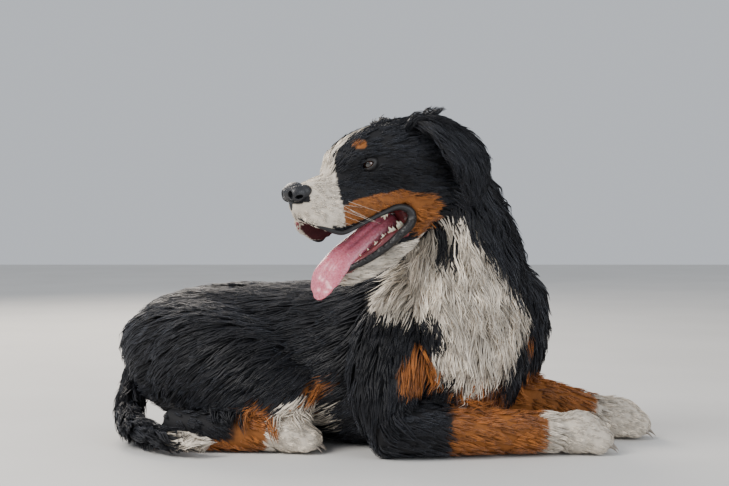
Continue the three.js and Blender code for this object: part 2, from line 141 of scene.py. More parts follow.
class Tube:
    """A body part with a bent axis. A station is x, y, z, half width along the side, half height."""

    def __init__(self, stations, side=(0, 1, 0), bow=0.0, head=False):
        self.rows = np.asarray(stations, float)
        self.side = unit(np.asarray(side, float))
        self.bow = bow
        self.head = head

    def frame(self, t):
        here = spline(self.rows, t)
        ahead = spline(self.rows, np.minimum(t + 0.004, 1))
        behind = spline(self.rows, np.maximum(t - 0.004, 0))
        along = unit(ahead[:, :3] - behind[:, :3])
        across = unit(self.side - along * (along @ self.side)[:, None])
        return here, along, across, np.cross(along, across)

    def points(self, t, angle, raised=0.0):
        here, _, across, up = self.frame(t)
        c, s = np.cos(angle)[:, None], np.sin(angle)[:, None]
        w, h = here[:, 3:4], here[:, 4:5]
        return here[:, :3] + across * (w + raised) * c + up * ((h + raised) * s + self.bow * w * c * c)

    def mesh(self, raised=0.0, sides=40, rings=48):
        t = np.repeat(np.linspace(0, 1, rings + 1), sides)
        body = self.points(t, np.tile(around(sides), rings + 1), raised)
        here, along, _, up = self.frame(np.array([0.0, 1.0]))
        reach = np.array([[-1.0], [1.0]]) * (0.25 * here[:, 4:5] + raised)
        tips = here[:, :3] + along * reach + up * self.bow * here[:, 3:4] * 0.5
        verts = np.vstack([body, tips])
        faces = quads(rings + 1, sides)
        last, n = rings * sides, len(body)
        faces += [(n, (j + 1) % sides, j) for j in range(sides)]
        faces += [(n + 1, last + j, last + (j + 1) % sides) for j in range(sides)]
        return (from_head(verts) if self.head else verts), faces


# Body parts
FRONT_SIDE = (0.77, 0.64, 0)
REAR_AT, REAR_HEADING = np.array([-230.0, 50.0]), math.radians(-14.5)


def mirrored(rows):
    """The same stations on the other side of the trunk's rear half."""
    rows = np.array(rows, float)
    line = np.array([math.cos(REAR_HEADING), math.sin(REAR_HEADING)])
    off = rows[:, :2] - REAR_AT
    rows[:, :2] = REAR_AT + 2 * (off @ line)[:, None] * line - off
    return rows


THIGH = [(-338, 20, 166, 40, 66), (-285, -26, 148, 62, 90), (-205, -66, 122, 64, 88), (-140, -84, 96, 52, 66),
         (-96, -88, 76, 34, 44)]
SHANK = [(-326, -84, 42, 22, 30), (-280, -102, 36, 26, 32), (-205, -112, 32, 27, 30),
         (-150, -114, 30, 26, 28)]
TAIL = [(-390, 112, 132, 20, 22), (-406, 74, 82, 19, 20), (-405, 14, 46, 18, 18), (-390, -50, 34, 17, 17),
        (-352, -110, 31, 15, 15), (-304, -150, 28, 12, 12), (-258, -166, 25, 7, 7)]
PARTS = {
    "trunk": Tube([(-402, 97, 125, 38, 48), (-378, 90, 135, 84, 80), (-325, 74, 142, 116, 108),
                   (-230, 50, 146, 122, 122), (-120, 23, 145, 122, 126), (-20, 0, 140, 128, 143),
                   (70, -23, 154, 132, 156), (140, -52, 176, 132, 158), (190, -88, 198, 104, 128),
                   (212, -118, 208, 55, 75)]),
    "breast": Tube([(135, -95, 350, 55, 40), (158, -108, 290, 90, 56), (176, -114, 225, 104, 66),
                    (178, -112, 160, 96, 62), (165, -104, 105, 72, 50), (150, -94, 66, 36, 30)], FRONT_SIDE),
    "neck": Tube([(112, -150, 462, 52, 54), (138, -140, 420, 66, 68), (156, -124, 365, 76, 80),
                  (164, -100, 305, 92, 96), (160, -76, 245, 100, 104), (146, -58, 190, 60, 70)], FRONT_SIDE),
    "thigh_right": Tube(THIGH),
    "thigh_left": Tube(mirrored(THIGH)),
    "shank_right": Tube(SHANK),
    "shank_left": Tube(mirrored(SHANK)),
    "shoulder_right": Tube([(70, -98, 262, 40, 26), (52, -132, 205, 62, 36), (36, -152, 140, 62, 40),
                            (30, -164, 84, 50, 38), (36, -166, 44, 34, 32)], (1, 0.1, 0)),
    "shoulder_left": Tube([(222, -6, 300, 40, 30), (252, 22, 250, 56, 42), (262, 38, 195, 56, 44),
                           (256, 48, 140, 52, 42), (240, 50, 92, 44, 38),
                           (226, 48, 54, 34, 32)], (1, -0.3, 0)),
    "forearm_right": Tube([(22, -168, 42, 34, 36), (70, -168, 46, 38, 42), (150, -158, 42, 36, 38),
                           (240, -142, 39, 33, 35), (312, -130, 36, 32, 33)]),
    "forearm_left": Tube([(206, 46, 50, 34, 36), (248, 42, 58, 38, 42), (305, 36, 62, 36, 38),
                          (362, 32, 50, 33, 35), (412, 29, 38, 32, 33)]),
    "tail": Tube(TAIL, (0, 0, 1)),
    "skull": Tube([(-92, 0, 2, 24, 26), (-78, 0, 3, 48, 46), (-40, 0, 5, 67, 64), (10, 0, 6, 74, 67),
                   (56, 0, 8, 69, 65), (90, 0, 8, 54, 61), (118, 0, 3, 42, 55), (136, 0, -5, 35, 44),
                   (148, 0, -13, 29, 28)], head=True),
    "muzzle": Tube([(80, 0, -30, 48, 40), (118, 0, -27, 42, 42), (155, 0, -27, 36, 42), (190, 0, -24, 32, 37),
                    (212, 0, -18, 26, 29), (224, 0, -14, 16, 18)], head=True),
    "jaw": Tube([(8, 0, -70, 40, 26), (40, 0, -93, 48, 26), (67, 0, -112, 48, 25), (95, 0, -126, 44, 24),
                 (119, 0, -135, 38, 21), (145, 0, -142, 30, 18), (168, 0, -148, 21, 15),
                 (182, 0, -153, 12, 10)], head=True),
}


def sided(rows, way):
    return [(x, way * y, z, w, h) for x, y, z, w, h in rows]


CHEEK = [(-42, 42, -30, 14, 26), (-8, 50, -44, 19, 42), (25, 51, -52, 18, 42), (50, 49, -58, 12, 34)]
FLEW = [(58, 48, -46, 7, 13), (97, 44, -45, 8, 18), (124, 40, -47, 9, 22), (150, 36, -50, 9.5, 25),
        (174, 31, -52, 9.5, 27), (198, 24, -44, 9, 21), (215, 13, -36, 7, 13)]
EAR = [(24, 42, 46, 12, 7), (14, 54, 62, 20, 8), (-6, 70, 54, 34, 8), (-30, 84, 28, 43, 7),
       (-48, 91, -4, 43, 6.5), (-50, 93, -38, 30, 5.5), (-38, 91, -70, 10, 4)]
SIDE_NAMES = {1: "left", -1: "right"}
for way, name in SIDE_NAMES.items():
    PARTS[f"cheek_{name}"] = Tube(sided(CHEEK, way), head=True)
    hang = [0, 0, 0, 0, 0, 0, 0] if way > 0 else [0, 0, 4, 10, 14, 14, 8]
    flew = [(x, y, z - 0.5 * low, w, h + 0.5 * low) for (x, y, z, w, h), low in zip(sided(FLEW, way), hang)]
    PARTS[f"flew_{name}"] = Tube(flew, head=True)
    PARTS[f"ear_{name}"] = Tube(sided(EAR, way), (1, way * 0.25, 0.3), bow=way * 0.16, head=True)
MOUTH_ROOM = Tube([(34, 0, -80, 30, 24), (75, 0, -82, 33, 30), (120, 0, -80, 30, 28), (170, 0, -78, 23, 26),
                   (200, 0, -70, 15, 17)], head=True)
TROUGH = Tube([(20, 0, -60, 34, 20), (67, 0, -86, 34, 22), (95, 0, -100, 30, 20), (119, 0, -110, 25, 17),
               (145, 0, -118, 19, 15), (190, 0, -132, 17, 15)], head=True)
TONGUE = Tube([(60, 0, -76, 17, 9), (99, 4, -89, 21, 9), (130, 7, -101, 21, 8), (160, 10, -113, 22, 7),
               (184, 13, -127, 24, 6), (204, 16, -143, 25, 5), (213, 17, -157, 21, 4.5),
               (217, 17, -167, 12, 3.5), (218, 17, -171, 4, 2)],
              (0, 0.76, -0.65), bow=-0.12, head=True)

# How deep the skin lies under each part's core
INSET = {"trunk": 7, "breast": 6, "neck": 8, "thigh": 5, "shoulder": 4, "shank": 2, "forearm": 2, "tail": 4,
         "skull": 3, "muzzle": 1.5, "jaw": 2, "cheek": 3, "flew": 1.5, "ear": 1}
PAWS = {
    "forepaw_right": ((348, -122), 8, 1.0),
    "forepaw_left": ((438, 26), -4, 1.0),
    "hindpaw_right": ((-118, -114), 0, 0.86),
    "hindpaw_left": (tuple(mirrored([(-118, -114, 0)])[0][:2]), -29, 0.86),
}
PAW_INSET = 1.5
# Each toe's place aside and ahead
TOES = [(aside, 34 - 0.013 * aside * aside) for aside in (-26, -9, 9, 26)]


def link(name, mesh):
    piece = bpy.data.objects.new(name, mesh)
    bpy.context.collection.objects.link(piece)
    return piece


def mesh_piece(name, verts, faces, scale=MM):
    mesh = bpy.data.meshes.new(name)
    mesh.from_pydata((np.asarray(verts) * scale).tolist(), [], [tuple(int(i) for i in f) for f in faces])
    mesh.update()
    return link(name, mesh)


def quick_mesh(name, verts, faces):
    """A mesh of triangles or quads from arrays, in metres."""
    mesh = bpy.data.meshes.new(name)
    size = faces.shape[1]
    mesh.vertices.add(len(verts))
    mesh.vertices.foreach_set("co", verts.astype(np.float32).ravel())
    mesh.loops.add(faces.size)
    mesh.loops.foreach_set("vertex_index", faces.astype(np.int32).ravel())
    mesh.polygons.add(len(faces))
    mesh.polygons.foreach_set("loop_start", np.arange(0, faces.size, size, dtype=np.int32))
    mesh.update(calc_edges=True)
    return link(name, mesh)


def ball(at, radii, heading=0.0, pitch=0.0, segments=32):
    """Verts and faces of an ellipsoid, turned by a pitch and then by a heading about Z."""
    made = bmesh.new()
    bmesh.ops.create_uvsphere(made, u_segments=segments, v_segments=segments // 2, radius=1)
    verts = np.array([v.co for v in made.verts]) * np.asarray(radii)
    faces = [[v.index for v in f.verts] for f in made.faces]
    made.free()
    c, s = math.cos(pitch), math.sin(pitch)
    turn = turned(heading) @ np.array([[c, 0, s], [0, 1, 0], [-s, 0, c]])
    return verts @ turn.T + np.asarray(at, float), faces


def head_ball(*shape, **turns):
    """An ellipsoid in the head's measures."""
    verts, faces = ball(*shape, **turns)
    return from_head(verts), faces


def gathered(name, pieces):
    """One object from several lists of verts and faces."""
    verts, faces, count = [], [], 0
    for v, f in pieces:
        verts.append(v)
        faces += [[i + count for i in face] for face in f]
        count += len(v)
    piece = mesh_piece(name, np.vstack(verts), faces)
    data = bmesh.new()
    data.from_mesh(piece.data)
    bmesh.ops.recalc_face_normals(data, faces=data.faces)
    data.to_mesh(piece.data)
    data.free()
    return piece


def select_only(piece):
    bpy.ops.object.select_all(action="DESELECT")
    piece.select_set(True)
    bpy.context.view_layer.objects.active = piece


def apply_all(piece):
    select_only(piece)
    for modifier in list(piece.modifiers):
        bpy.ops.object.modifier_apply(modifier=modifier.name)


def shade_smooth(piece):
    piece.data.polygons.foreach_set("use_smooth", np.ones(len(piece.data.polygons), bool))
    return piece


def relaxed(piece, steps):
    """Applies the modifiers and evens the surface."""
    relax = piece.modifiers.new("relax", "SMOOTH")
    relax.factor, relax.iterations = 0.5, steps
    apply_all(piece)
    return shade_smooth(piece)


def remeshed(piece, cell, steps):
    """Joins overlapping forms into one surface, built from cells."""
    whole = piece.modifiers.new("remesh", "REMESH")
    whole.mode, whole.voxel_size = "VOXEL", cell * MM
    return relaxed(piece, steps)


def combine(piece, other, how):
    """Cuts a piece by another one, or keeps what both share. The other one is used up."""
    cut = piece.modifiers.new("cut", "BOOLEAN")
    cut.operation, cut.object, cut.solver = how, other, "MANIFOLD"
    apply_all(piece)
    bpy.data.objects.remove(other)


def carve(piece, shape):
    combine(piece, gathered("cutter", [shape]), "DIFFERENCE")


def paw_shapes(at, heading, scale):
    """A paw's main form and its toes."""
    main_size, toe_size = np.subtract([(44, 39, 37), (26, 13.4, 25)], PAW_INSET)
    shapes = [ball((0, 0, 34), main_size)]
    shapes += [ball((reach, aside, 25), toe_size, pitch=math.radians(10)) for aside, reach in TOES]
    spin = turned(math.radians(heading))
    return [((v * scale) @ spin.T + np.array([*at, 0]), f) for v, f in shapes]


def eye_out(way):
    """The direction in which an eye looks, in the head's measures."""
    return np.array([math.cos(EYE_FACING), way * math.sin(EYE_FACING), 0.0])


# The skin
def make_skin():
    """One closed surface under the coat, with the mouth and the eye sockets cut in it."""
    shapes = []
    for name, part in PARTS.items():
        if not name.startswith("ear"):
            shapes.append(part.mesh(-INSET[name.split("_")[0]]))
    for paw in PAWS.values():
        shapes += paw_shapes(*paw)
    for way in BOTH:
        shapes.append(head_ball((99, way * 30, 41), (22, 15, 12), heading=way * math.radians(28)))
        shapes.append(head_ball(EYE_AT * (1, way, 1), (16.5, 16.5, 15)))
        shapes.append(head_ball((117, way * 30, 27), (20, 15, 16)))
    skin = remeshed(gathered("skin", shapes), SKIN_CELL, 0)
    for hollow in (MOUTH_ROOM, TROUGH):
        carve(skin, hollow.mesh(0, 24, 20))
    for way in BOTH:
        at = EYE_AT * (1, way, 1)
        carve(skin, head_ball(at, (EYE_RADIUS + 1.5,) * 3))
        carve(skin, head_ball(at + eye_out(way) * 14, (16, 13, 8.5), heading=way * EYE_FACING))
    remeshed(skin, SKIN_CELL, 5)
    # The face gets smaller faces than the body
    data = bmesh.new()
    data.from_mesh(skin.data)
    u, v, w = to_head(np.array([f.calc_center_median() for f in data.faces]) / MM).T
    face = (u > 20) & (u < 250) & (np.abs(v) < 75) & (w > -190)
    data.faces.ensure_lookup_table()
    edges = {e for i in np.nonzero(face)[0] for e in data.faces[i].edges}
    bmesh.ops.subdivide_edges(data, edges=list(edges), cuts=1, use_grid_fill=True, smooth=0.6)
    bmesh.ops.triangulate(data, faces=[f for f in data.faces if len(f.verts) > 4])
    for vertex in data.verts:
        vertex.co.z = max(vertex.co.z, SKIN_LOW)
    data.to_mesh(skin.data)
    data.free()
    return shade_smooth(skin)


def unwrap(piece):
    """The OFBake map, on islands of the skin's own shape."""
    piece.data.uv_layers.new(name="OFBake")
    select_only(piece)
    bpy.ops.object.mode_set(mode="EDIT")
    bpy.ops.mesh.select_all(action="SELECT")
    bpy.ops.uv.smart_project(angle_limit=math.radians(70), island_margin=0.002)
    bpy.ops.object.mode_set(mode="OBJECT")


# How the hair of each part lies: along the part's axis, downwards, a lock's length, how far its tip
# stands off, how much it winds, how densely locks grow
RULES = {
    "trunk": (-1.0, 0.5, 56, 8, 0.10, 1.0),
    "neck": (1.0, 0.5, 70, 15, 0.42, 1.25),
    "breast": (1.0, 0.4, 62, 13, 0.5, 1.35),
    "thigh": (-0.7, 0.8, 55, 12, 0.15, 1.0),
    "shank": (0.6, 0.3, 18, 4, 0.05, 1.2),
    "shoulder": (1.0, 0.3, 46, 10, 0.15, 1.0),
    "forearm": (1.0, 0.25, 24, 4.5, 0.08, 1.3),
    "tail": (1.0, 0.1, 62, 14, 0.2, 1.6),
    "skull": (-1.0, 0.25, 20, 3.2, 0.06, 2.0),
    "muzzle": (-1.0, 0.25, 8, 1.3, 0.0, 3.4),
    "flew": (-1.0, 0.5, 8, 1.3, 0.0, 3.4),
    "cheek": (-1.0, 0.4, 24, 5, 0.1, 2.0),
    "jaw": (-1.0, 0.5, 30, 6, 0.2, 2.0),
    "ear": (1.0, 0.5, 46, 6, 0.25, 1.8),
}
PAW_STYLE = (11, 2.0, 0.0, 2.6)
# Hair above the first length is long, below the second one very short
LONG_HAIR, TINY_HAIR = 30, 12
DOWNWARD = np.array([0, 0, -1.0])


def lie_samples():
    """Points over every part with the hair's direction, its style, and the coat colour's weights."""
    places, lies, styles, marks = [], [], [], []
    for name, part in PARTS.items():
        kind = name.split("_")[0]
        run, down, *style = RULES[kind]
        rings, sides = (64, 44) if kind in ("trunk", "neck") else (40, 32)
        t = np.repeat(np.linspace(0.01, 0.99, rings), sides)
        angle = np.tile(around(sides), rings)
        at = part.points(t, angle, -INSET[kind])
        along = part.frame(t)[1]
        if part.head:
            at, along = from_head(at), along @ HEAD_AXES
        places.append(at)
        lies.append(unit(along * run + DOWNWARD * down))
        styles.append(np.tile(style, (len(at), 1)))
        marks.append(part_marks(name, kind, t, angle))
    for at, heading, scale in PAWS.values():
        turn = math.radians(heading)
        lie = unit(np.array([math.cos(turn), math.sin(turn), -0.3]))
        for verts, _ in paw_shapes(at, heading, scale):
            places.append(verts)
            for rows, row in ((lies, lie), (styles, PAW_STYLE), (marks, (0.0, 0.0, 1.0))):
                rows.append(np.tile(row, (len(verts), 1)))
    return [np.vstack(rows) for rows in (places, lies, styles, marks)]


def part_marks(name, kind, t, angle):
    """Weights of black, rust and white on one part."""
    white, rust = np.zeros(len(t)), np.zeros(len(t))
    turn = np.degrees(angle) % 360
    if kind == "forearm":
        rust = smooth(0.1, 0.2, t) if name.endswith("left") else smooth(0.4, 0.54, t)
        white = smooth(0.9, 0.95, t)
    elif kind == "shank":
        rust = np.maximum(smooth(0.55, 0.75, t), smooth(190, 215, turn) * (1 - smooth(300, 330, turn)))
        white = smooth(0.93, 0.99, t)
    elif kind == "thigh":
        rust = smooth(0.9, 0.97, t) * 0.9
    elif kind == "tail":
        white = smooth(0.86, 0.91, t)
    rust = rust * (1 - white)
    return np.stack([1 - white - rust, rust, white], 1)


# The white of the throat and breast, seen from the dog's right: its two edges (x) at each height (z)
BIB_HEIGHTS = [84, 120, 150, 180, 205, 222, 245, 258, 280, 300, 320, 335, 350, 372]
BIB_REAR = [165, 119, 103, 118, 128, 40, -8, -20, -34, -20, 12, 45, 72, 104]
BIB_FRONT = [190, 232, 250, 264, 272, 272, 258, 226, 228, 214, 196, 178, 160, 132]
BIB_DEPTH_AT = [-40, 60, 150, 280]
BIB_DEPTH = [-112, -100, -72, -5]
BIB_LOW, BIB_TOP = 84, 374


def bib_marks(at, marks):
    """Weights with the white bib laid over the throat, breast and shoulder."""
    x, y, z = at.T
    rear, front = np.interp(z, BIB_HEIGHTS, BIB_REAR), np.interp(z, BIB_HEIGHTS, BIB_FRONT)
    ragged = 6 * np.sin(z * 0.21) + 4 * np.sin(z * 0.47 + 1)
    inside = np.minimum(x - rear - ragged, front - x + 0.6 * ragged)
    inside = np.minimum(inside, np.minimum(z - BIB_LOW, BIB_TOP - z))
    white = smooth(-3, 3, inside) * (y < np.interp(x, BIB_DEPTH_AT, BIB_DEPTH))
    rust_low = spot(0.7, 1.1, (x - 88) / 40, (z - 128) / 34)
    rust_front = spot(0.7, 1.1, (x - 290) / 16, (z - 165) / 22)
    rust = np.maximum(rust_low, rust_front) * (y < -60) * (1 - white)
    torso = (z > BIB_LOW) & (z < BIB_TOP)
    rust, white = (w * torso for w in (rust, white))
    out = marks * (1 - white - rust)[:, None]
    out[:, 1] += rust
    out[:, 2] += white
    return out


# How far to each side the mouth's lining reaches
LINING_AT = [40, 70, 97, 124, 150, 174, 198, 215]
LINING_HALF = [44, 46, 44, 40, 36, 31, 25, 14]
MOUTH_LINING = np.array([0.045, 0.007, 0.009])
# The skin's share of the hair's brightness
SKIN_SHADE = 0.72

# The upper lip seen from the side: its height along the head
LIP_AT = [55, 73, 97, 124, 150, 170, 197, 223]
LIP_UPPER = [-70, -58, -62, -69, -72, -72, -57, -40]

# The blaze's half width and the upper edge of the cheek's rust along the head, and where the white
# muzzle begins at each height
BLAZE_AT = [62, 80, 100, 120, 135, 143, 150, 158, 166]
BLAZE_HALF = [0, 3.5, 4.5, 5.5, 6, 8, 16, 32, 90]
CHEEK_AT = [0, 12, 22, 38, 62, 100, 140, 170]
CHEEK_TOP = [-110, -84, -62, -44, -34, -31, -32, -40]
MUZZLE_HEIGHTS = [-75, -50, -30, -10]
MUZZLE_FROM = [169, 176, 171, 165]


def face_marks(at, marks):
    """Weights on the head, from its own measures: blaze, muzzle, brows, cheeks and throat."""
    u, v, w = to_head(at).T
    side = np.abs(v)
    middle = 7 * smooth(60, 90, u) * (1 - smooth(140, 154, u))
    from_middle = np.abs(v - middle) - np.interp(u, BLAZE_AT, BLAZE_HALF)
    white = (1 - smooth(-2, 2, from_middle)) * (w > -20 - 70 * smooth(158, 166, u)) * smooth(60, 66, u)
    front = np.interp(w, MUZZLE_HEIGHTS, MUZZLE_FROM) + 2 * np.sin(w * 0.7)
    white = np.where((u > front) & (w > -110), 1, white)
    brow = spot(0.75, 1.15, (u - 109) / 11, (w - 49) / 11, (side - 31) / 20)
    cheek = (1 - smooth(-3, 3, w - np.interp(u, CHEEK_AT, CHEEK_TOP))) * smooth(4, 16, u) * (w > -100)
    behind = spot(0.7, 1.15, (u - 22) / 26, (w + 88) / 44) * (side > 30)
    jaw_side = 0.25 * ((w < -100) & (u > 40))
    rust = np.maximum.reduce([brow, cheek * (side > 18), behind * 0.85, jaw_side])
    throat = ((w < -112) & (u > 20)) * (1 - 0.3 * (u < 60))
    white = np.maximum(white, throat * 0.85)
    lip = 1 - smooth(3, 6, np.abs(w - np.interp(u, LIP_AT, LIP_UPPER)))
    lip = lip * (side > 18) * (u > 56) * (u < 182) * 0.8
    pad = (u > 205) & (w > -20)
    rust, white = (x * (1 - np.maximum(lip, pad)) for x in (rust, white))
    rust = np.clip(rust, 0, 1) * (1 - white)
    mine = np.stack([1 - white - rust, rust, white], 1)
    on_head = (u > -90) & (u < 250) & (side <= 78) & (w > -185) & (w <= 80) & ((u > 2) | (w > 0))
    return np.where(on_head[:, None], mine, marks)


class Lie:
    """Looks up the hair's direction, style and colour anywhere near the body."""

    def __init__(self):
        self.places, self.lies, self.styles, self.marks = lie_samples()
        self.tree = KDTree(len(self.places))
        for i, p in enumerate(self.places):
            self.tree.insert(p, i)
        self.tree.balance()

    def at(self, points):
        lies, styles, marks = (np.zeros((len(points), k)) for k in (3, 4, 3))
        for i, p in enumerate(points):
            found = self.tree.find_n(p, 5)
            index = [f[1] for f in found]
            weight = 1 / (np.array([f[2] for f in found]) + 3.0) ** 2
            weight /= weight.sum()
            lies[i] = weight @ self.lies[index]
            styles[i] = weight @ self.styles[index]
            marks[i] = weight @ self.marks[index]
        return unit(lies), styles, face_marks(points, bib_marks(points, marks))


def coat_colour(marks, points):
    """Linear colours from the weights, with each edge sharpened and a slow drift over the body."""
    sharp = smooth(0.25, 0.75, marks)
    sharp /= np.maximum(sharp.sum(1, keepdims=True), 1e-6)
    drift = np.sin(points @ (0.021, 0.034, 0.027)) * np.sin(points @ (0.043, -0.019, 0.031))
    colour = sharp @ np.stack([BLACK, RUST, WHITE])
    return colour * (1 + 0.12 * drift)[:, None]


def paint(piece, colours):
    layer = piece.data.color_attributes.new("coat", "FLOAT_COLOR", "POINT")
    rgba = np.ones((len(piece.data.vertices), 4), np.float32)
    rgba[:, :3] = colours
    layer.data.foreach_set("color", rgba.ravel())


def coords(mesh):
    out = np.empty(len(mesh.vertices) * 3, np.float32)
    mesh.vertices.foreach_get("co", out)
    return out.reshape(-1, 3).astype(float)


# How deep a hair's root is set, mm, its thickness to its width, and its patch's radius on the map
ROOT_DEPTH, HAIR_THICK, PATCH_RADIUS = 1.2, 0.6, 0.0015
# A hair's width and brightness change from root to tip
TAPER_AT, TAPER = [0, 0.25, 0.6, 1], [0.75, 1.0, 0.85, 0.3]
ROOT_SHADE, TIP_SHADE = 0.75, 1.1


# Tufts
class Surface:
    """The skin's triangles, for scattering roots and for laying locks along it."""

    def __init__(self, piece):
        mesh = piece.data
        mesh.calc_loop_triangles()
        tris = np.empty(len(mesh.loop_triangles) * 3, np.int32)
        loops = np.empty_like(tris)
        mesh.loop_triangles.foreach_get("vertices", tris)
        mesh.loop_triangles.foreach_get("loops", loops)
        uv = np.empty(len(mesh.loops) * 2, np.float32)
        mesh.uv_layers["OFBake"].data.foreach_get("uv", uv)
        self.verts = coords(mesh) / MM
        self.tris = tris.reshape(-1, 3)
        self.uvs = uv.reshape(-1, 2)[loops].reshape(-1, 3, 2)
        self.tree = BVHTree.FromPolygons(self.verts.tolist(), self.tris.tolist())
        a, b, c = (self.verts[self.tris[:, i]] for i in range(3))
        cross = np.cross(b - a, c - a)
        self.area = 0.5 * np.linalg.norm(cross, axis=1)
        self.normal = unit(cross)
        self.centre = (a + b + c) / 3

    def scatter(self, weight, count):
        """Random places, as many on each triangle as its area and weight ask for."""
        share = np.cumsum(self.area * weight)
        pick = np.searchsorted(share, RNG.random(count) * share[-1])
        r1, r2 = np.sqrt(RNG.random(count)), RNG.random(count)
        mix = np.stack([1 - r1, r1 * (1 - r2), r1 * r2], 1)
        return np.einsum("ij,ijk->ik", mix, self.verts[self.tris[pick]]), self.normal[pick]

    def nearest(self, points):
        """The nearest places on the skin, with their normals and triangles."""
        at, normal, face = np.empty_like(points), np.empty_like(points), np.empty(len(points), int)
        for i, p in enumerate(points):
            at[i], normal[i], face[i], _ = self.tree.find_nearest(p)
        return at, normal, face

    def roots(self, points):
        """The nearest places on the skin, with their normals and their place on the OFBake map."""
        at, normal, face = self.nearest(points)
        a, b, c = (self.verts[self.tris[face, i]] for i in range(3))
        v0, v1, v2 = b - a, c - a, at - a
        d00, d01, d11, d20, d21 = dot(v0, v0), dot(v0, v1), dot(v1, v1), dot(v2, v0), dot(v2, v1)
        den = np.maximum(d00 * d11 - d01 * d01, 1e-9)
        vb, wc = (d11 * d20 - d01 * d21) / den, (d00 * d21 - d01 * d20) / den
        mix = np.clip(np.stack([1 - vb - wc, vb, wc], 1), 0, 1)
        return at, normal, np.einsum("ij,ijk->ik", mix, self.uvs[face])


def guides(surface, lie, weight, count, scale, steps, rise):
    """Paths of locks that lie along the skin: their points, the skin's normals, lengths and styles."""
    at, normal = surface.scatter(weight, count)
    way, style, _ = lie.at(at)
    length = style[:, 0] * scale * RNG.uniform(0.75, 1.2, count)
    path, normals = [at - normal * 1.5], [normal]
    here = at
    for step in range(1, steps):
        share = step / (steps - 1)
        way = unit(way - normal * dot(way, normal)[:, None])
        here, normal, _ = surface.nearest(here + way * (length / (steps - 1))[:, None])
        height = (style[:, 1] + rise) * share ** 0.8 * RNG.uniform(0.7, 1.25, count)
        path.append(here + normal * height[:, None])
        normals.append(normal)
        if step < steps - 1:
            pull, _, _ = lie.at(here)
            way = unit(way + 0.6 * pull + RNG.normal(0, 0.05, (count, 3)))
    return np.stack(path, 1), np.stack(normals, 1), length, style


def hair_faces(rings):
    """Triangles of one hair: rings of three corners and a point."""
    faces = []
    for a, b, c, d in quads(rings, 3):
        faces += [(a, b, c), (a, c, d)]
    last, tip = 3 * (rings - 1), 3 * rings
    faces += [(last + j, last + (j + 1) % 3, tip) for j in range(3)]
    return np.array(faces + [(2, 1, 0)])


def tufts(name, surface, lie, weight, count, per_lock, radius, wide, *,
          scale=1.0, gather=0.6, steps=5, rise=0.0):
    """Locks of solid, tapered hairs: each hair follows its lock's guide and gathers towards its tip."""
    path, normals, length, style = guides(surface, lie, weight, count, scale, steps, rise)
    total = count * per_lock
    lock_of = np.repeat(np.arange(count), per_lock)
    root_way = unit(path[:, 1] - path[:, 0])
    across = unit(np.cross(normals[:, 0], root_way))
    root_way, across, own_normals = root_way[lock_of], across[lock_of], normals[lock_of]
    spread = np.sqrt(RNG.random(total)) * radius
    spin = RNG.random(total) * 2 * math.pi
    off = across * (spread * np.cos(spin))[:, None] + root_way * (1.4 * spread * np.sin(spin))[:, None]
    at, root_normal, uv = surface.roots(path[lock_of, 0] + off)
    shown = at + root_way * (0.8 * length)[lock_of][:, None]
    colour = coat_colour(lie.at(shown)[2], shown)
    shade = RNG.lognormal(0, 0.18, count)[lock_of] * RNG.lognormal(0, 0.12, total)
    colour = colour * shade[:, None]
    start = at - root_normal * ROOT_DEPTH
    s = np.linspace(0, 1, steps)
    draw_in = (1 - gather * s**1.3)[None, :, None]
    centre = path[lock_of] - path[lock_of, :1] + start[:, None]
    centre -= (1 - draw_in) * (start - path[lock_of, 0])[:, None]
    short = RNG.uniform(0.82, 1.08, total)
    centre = start[:, None] + (centre - start[:, None]) * short[:, None, None]
    wave = style[lock_of, 2] * length[lock_of]
    phase = RNG.random(count)[lock_of] * 2 * math.pi + RNG.normal(0, 0.35, total)
    turns = RNG.uniform(0.7, 1.3, count)[lock_of]
    wound = phase[:, None] + 2 * math.pi * turns[:, None] * s
    swing = np.sin(wound) - np.sin(phase)[:, None]
    heave = np.cos(wound) - np.cos(phase)[:, None]
    bend = (wave[:, None] * 0.28 * s)[:, :, None]
    centre = centre + bend * swing[:, :, None] * across[:, None]
    centre = centre + 0.4 * bend * np.maximum(heave, 0)[:, :, None] * own_normals
    centre[..., 2] = np.maximum(centre[..., 2], HAIR_LOW)
    along = unit(np.gradient(centre, axis=1))
    flat = unit(np.cross(own_normals, along))
    out = np.cross(along, flat)
    width = wide * RNG.uniform(0.7, 1.25, total)
    taper = np.interp(s, TAPER_AT, TAPER)
    corners = []
    for k in range(steps - 1):
        half = (0.5 * width * taper[k])[:, None]
        for a in (0, 2 * math.pi / 3, 4 * math.pi / 3):
            broad, thick = flat[:, k] * half * math.cos(a), out[:, k] * half * HAIR_THICK * math.sin(a)
            corners.append(centre[:, k] + broad + thick)
    verts = np.stack(corners + [centre[:, -1]], 1)
    per = verts.shape[1]
    faces = (hair_faces(steps - 1)[None] + (np.arange(total) * per)[:, None, None]).reshape(-1, 3)
    piece = quick_mesh(name, verts.reshape(-1, 3) * MM, faces)
    fade = np.linspace(ROOT_SHADE, TIP_SHADE, steps)
    fade = np.concatenate([np.repeat(fade[:-1], 3), fade[-1:]])
    paint(piece, (colour[:, None] * fade[None, :, None]).reshape(-1, 3))
    # Each hair has a small patch of the map, at its root
    patch = np.stack([np.cos(np.arange(per) * 2.4), np.sin(np.arange(per) * 2.4)], 1) * PATCH_RADIUS
    vertex_uv = (uv[:, None] + patch[None]).reshape(-1, 2)
    layer = piece.data.uv_layers.new(name="OFBake")
    layer.data.foreach_set("uv", vertex_uv[faces.ravel()].astype(np.float32).ravel())
    return shade_smooth(piece)


# Materials
def tune(node, values):
    for key, value in values.items():
        node.inputs[key].default_value = value


